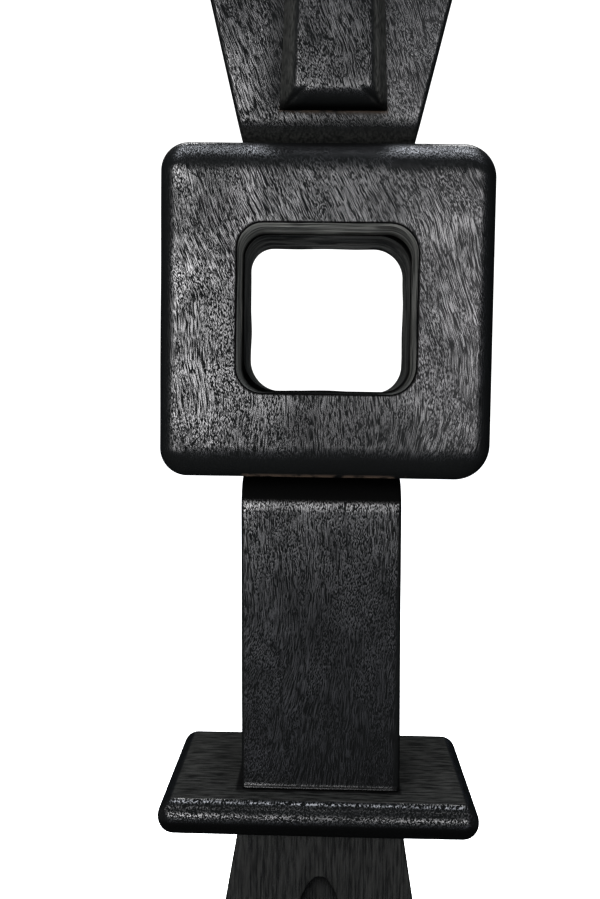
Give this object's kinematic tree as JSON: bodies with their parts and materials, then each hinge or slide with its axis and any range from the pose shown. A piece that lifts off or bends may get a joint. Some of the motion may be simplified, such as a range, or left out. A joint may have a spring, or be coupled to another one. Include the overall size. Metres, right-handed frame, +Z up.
{
  "type": "carved ancestor figure",
  "caption": "Abstract standing figure of stacked black-stained hardwood blocks: flared head with a block nose, square ring torso, waist post, hip plate and splayed legs.",
  "frame": {"origin": "on the floor under the middle of the figure, at the underside of the felt pads", "axes": "+Z up; the face, the nose and the niche between the legs look along -Y; +X is the figure's left hand side as it faces the viewer's right"},
  "size_m": [0.16, 0.104, 0.68],
  "materials": {
    "black_wood": "black stain and wax rubbed over an open, interlocked grain; satin",
    "bare_wood": "unfinished hardwood dowel",
    "felt": "pressed felt, matt"
  },
  "bodies": {
    "root": {"head_block": "black_wood", "nose_block": "black_wood", "ring_front_board": "black_wood", "ring_back_board": "black_wood", "waist_post": "black_wood", "hip_plate": "black_wood", "leg_block": "black_wood", "neck_dowel_left": "bare_wood", "neck_dowel_right": "bare_wood", "waist_dowel_left": "bare_wood", "waist_dowel_right": "bare_wood", "hip_dowel_left": "bare_wood", "hip_dowel_right": "bare_wood", "nose_pin_lower": "bare_wood", "nose_pin_upper": "bare_wood", "ring_pin_top_left": "bare_wood", "ring_pin_top_right": "bare_wood", "ring_pin_bottom_left": "bare_wood", "ring_pin_bottom_right": "bare_wood", "felt_pad_front_left": "felt", "felt_pad_front_right": "felt", "felt_pad_back_left": "felt", "felt_pad_back_right": "felt"}
  },
  "joints": []
}
